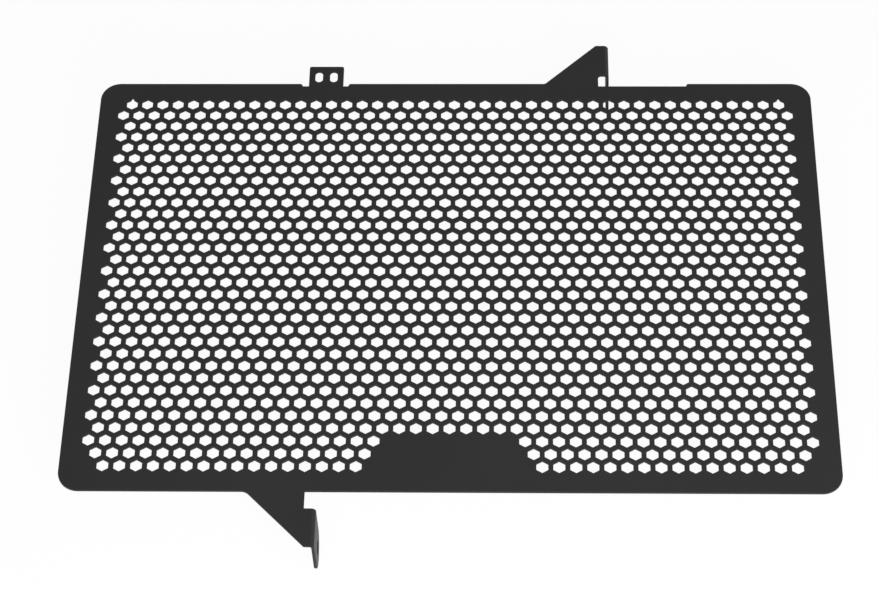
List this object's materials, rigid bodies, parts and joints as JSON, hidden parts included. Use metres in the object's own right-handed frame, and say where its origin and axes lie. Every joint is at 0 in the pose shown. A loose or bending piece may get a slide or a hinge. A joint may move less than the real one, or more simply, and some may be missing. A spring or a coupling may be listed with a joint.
{
  "type": "motorcycle radiator guard",
  "caption": "Flat black sheet-metal guard for a motorcycle radiator, with a honeycomb grille, rounded corners, a slotted tie tab and folded ears with bolt holes.",
  "frame": {"origin": "middle of the guard's box, at the height of the longer ear's tip, which is what the guard's back rests on", "axes": "+X across the guard to its right-hand side as seen from the front, +Y up the guard when it is mounted, +Z out of its front face"},
  "size_m": [0.3694, 0.296, 0.0379],
  "materials": {
    "powder_coat": "satin black powder coat with a fine texture"
  },
  "bodies": {
    "root": {"radiator_guard": "powder_coat"}
  },
  "joints": []
}
